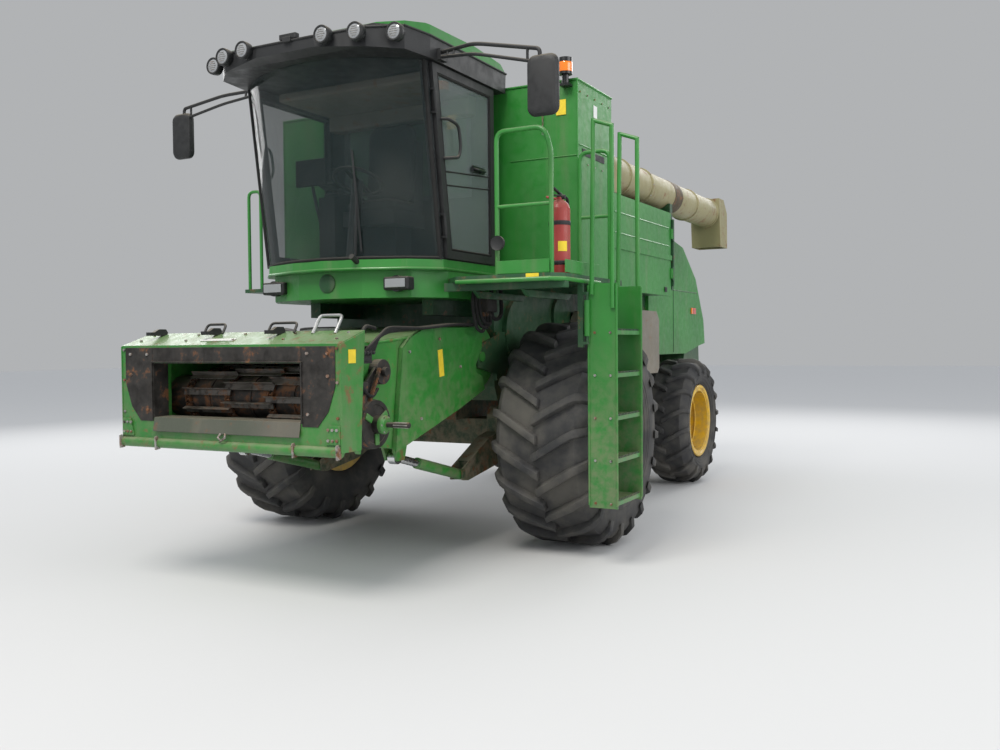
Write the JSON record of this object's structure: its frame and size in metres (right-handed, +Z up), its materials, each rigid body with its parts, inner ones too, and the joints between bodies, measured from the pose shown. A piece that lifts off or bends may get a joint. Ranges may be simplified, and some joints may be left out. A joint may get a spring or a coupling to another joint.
{
  "type": "combine harvester",
  "caption": "Self-propelled combine harvester without header: cab, feeder house, grain tank, folding unloading auger, ladder, rubber tyres.",
  "frame": {"origin": "centre of the machine's bounding box in plan, on the ground under the tyres", "axes": "+X forward, towards the header; +Y to the machine's left, the ladder side; +Z up"},
  "size_m": [8.294, 4.14, 3.9499],
  "materials": {
    "green_paint": "gloss paint, faded and dusty",
    "light_green_paint": "gloss paint, sun-faded",
    "frame_paint": "dull dark paint with dust",
    "rim_paint": "gloss paint, dusty",
    "tyre": "dusty rubber",
    "tinted_glass": "tinted",
    "black_plastic": "matt",
    "worn_steel": "worn, partly rusty",
    "bright_rod": "polished",
    "rusty_iron": "rusty",
    "auger_paint": "faded paint",
    "grey_box": "dusty paint",
    "red_paint": "gloss paint",
    "lamp_shell": "bright with clear lens"
  },
  "bodies": {
    "chassis": {"main_frame": "frame_paint", "front_axle": "frame_paint", "rear_axle": "frame_paint", "separator_body": "green_paint", "grain_tank": "green_paint", "tank_auger": "worn_steel", "engine": "rusty_iron", "engine_deck": "frame_paint", "engine_hood": "green_paint", "exhaust": "rusty_iron", "straw_hood": "green_paint", "chopper": "frame_paint", "cab_floor": "green_paint", "cab_frame": "black_plastic", "cab_roof": "green_paint", "windscreen": "tinted_glass", "cab_glass": "tinted_glass", "seat": "black_plastic", "controls": "black_plastic", "platform": "green_paint", "handrails": "green_paint", "extinguisher": "red_paint", "mirrors": "black_plastic", "lamps": "lamp_shell", "elevator": "green_paint", "fuel_tank": "frame_paint", "tool_box": "grey_box", "auger_base": "green_paint"},
    "front_wheel_left": {"front_tyre_left": "tyre", "front_rim_left": "rim_paint"},
    "front_wheel_right": {"front_tyre_right": "tyre", "front_rim_right": "rim_paint"},
    "rear_wheel_left": {"rear_tyre_left": "tyre", "rear_rim_left": "rim_paint"},
    "rear_wheel_right": {"rear_tyre_right": "tyre", "rear_rim_right": "rim_paint"},
    "steer_left": {"knuckle_left": "frame_paint"},
    "steer_right": {"knuckle_right": "frame_paint"},
    "track_rod": {"tie_rod": "worn_steel"},
    "feeder": {"feeder_house": "green_paint", "feeder_frame": "green_paint", "feed_drum": "worn_steel"},
    "header_drive": {"feeder_drive": "rusty_iron"},
    "barrel_left": {"lift_barrel_left": "green_paint"},
    "barrel_right": {"lift_barrel_right": "green_paint"},
    "rod_left": {"lift_rod_left": "bright_rod"},
    "rod_right": {"lift_rod_right": "bright_rod"},
    "auger": {"auger_tube": "auger_paint"},
    "ladder_body": {"ladder": "green_paint"},
    "door": {"cab_door": "black_plastic", "door_glass": "tinted_glass"},
    "tank_lid_left": {"lid_left": "light_green_paint"},
    "tank_lid_right": {"lid_right": "light_green_paint"},
    "side_shield_left": {"shield_left": "light_green_paint"},
    "side_shield_right": {"shield_right": "light_green_paint"}
  },
  "joints": [
    {"name": "front_left_spin", "type": "hinge", "parent": "chassis", "child": "front_wheel_left", "pos_m": [1.47, 1.4, 0.915], "axis": [0, 1, 0], "continuous": true},
    {"name": "front_right_spin", "type": "hinge", "parent": "chassis", "child": "front_wheel_right", "pos_m": [1.47, -1.4, 0.915], "axis": [0, 1, 0], "continuous": true},
    {"name": "steering_left", "type": "hinge", "parent": "chassis", "child": "steer_left", "pos_m": [-2.28, 0.64, 0.73], "axis": [0, 0, 1], "range_deg": [-25, 25]},
    {"name": "steering_right", "type": "hinge", "parent": "chassis", "child": "steer_right", "pos_m": [-2.28, -0.64, 0.73], "axis": [0, 0, 1], "range_deg": [-25, 25]},
    {"name": "tie_rod_slide", "type": "slide", "parent": "chassis", "child": "track_rod", "axis": [0, 1, 0], "range_m": [-0.1, 0.1]},
    {"name": "rear_left_spin", "type": "hinge", "parent": "steer_left", "child": "rear_wheel_left", "pos_m": [-2.28, 1.085, 0.73], "axis": [0, 1, 0], "continuous": true},
    {"name": "rear_right_spin", "type": "hinge", "parent": "steer_right", "child": "rear_wheel_right", "pos_m": [-2.28, -1.085, 0.73], "axis": [0, 1, 0], "continuous": true},
    {"name": "feeder_tilt", "type": "hinge", "parent": "chassis", "child": "feeder", "pos_m": [2.12, 0, 1.55], "axis": [0, 1, 0], "range_deg": [-6, 14]},
    {"name": "header_drive_spin", "type": "hinge", "parent": "feeder", "child": "header_drive", "pos_m": [3.67, 1, 1.13], "axis": [0, 1, 0], "continuous": true},
    {"name": "lift_tilt_left", "type": "hinge", "parent": "chassis", "child": "barrel_left", "pos_m": [2.27, 0.7, 0.62], "axis": [0, 1, 0], "range_deg": [-8, 16]},
    {"name": "lift_stroke_left", "type": "slide", "parent": "barrel_left", "child": "rod_left", "axis": [0.9689, 0, 0.2476], "range_m": [-0.24, 0.11]},
    {"name": "lift_tilt_right", "type": "hinge", "parent": "chassis", "child": "barrel_right", "pos_m": [2.27, -0.7, 0.62], "axis": [0, 1, 0], "range_deg": [-8, 16]},
    {"name": "lift_stroke_right", "type": "slide", "parent": "barrel_right", "child": "rod_right", "axis": [0.9689, 0, 0.2476], "range_m": [-0.24, 0.11]},
    {"name": "auger_swing", "type": "hinge", "parent": "chassis", "child": "auger", "pos_m": [0.71, 1.29, 3.1], "axis": [0, 0, -1], "range_deg": [0, 95]},
    {"name": "ladder_swing", "type": "hinge", "parent": "chassis", "child": "ladder_body", "pos_m": [2.37, 1.848, 1.8], "axis": [0, 0, -1], "range_deg": [0, 90]},
    {"name": "door_swing", "type": "hinge", "parent": "chassis", "child": "door", "pos_m": [2.685, 0.87, 2.29], "axis": [-0.1395, 0, -0.9902], "range_deg": [0, 75]},
    {"name": "lid_left_swing", "type": "hinge", "parent": "chassis", "child": "tank_lid_left", "pos_m": [0.95, 1.08, 3.764], "axis": [-1, 0, 0], "range_deg": [0, 100]},
    {"name": "lid_right_swing", "type": "hinge", "parent": "chassis", "child": "tank_lid_right", "pos_m": [0.95, -1.08, 3.764], "axis": [1, 0, 0], "range_deg": [0, 100]},
    {"name": "shield_left_swing", "type": "hinge", "parent": "chassis", "child": "side_shield_left", "pos_m": [-0.676, 1.5, 2.5], "axis": [0, 0, 1], "range_deg": [0, 80]},
    {"name": "shield_right_swing", "type": "hinge", "parent": "chassis", "child": "side_shield_right", "pos_m": [-0.676, -1.5, 2.5], "axis": [0, 0, -1], "range_deg": [0, 80]}
  ],
  "couplings": [
    {"joint": "steering_right", "follows": "steering_left", "ratio": 1},
    {"joint": "tie_rod_slide", "follows": "steering_left", "m_per_rad": -0.2227},
    {"joint": "lift_tilt_left", "follows": "feeder_tilt", "ratio": 0.976},
    {"joint": "lift_stroke_left", "follows": "feeder_tilt", "m_per_rad": -0.938},
    {"joint": "lift_tilt_right", "follows": "feeder_tilt", "ratio": 0.976},
    {"joint": "lift_stroke_right", "follows": "feeder_tilt", "m_per_rad": -0.938}
  ]
}
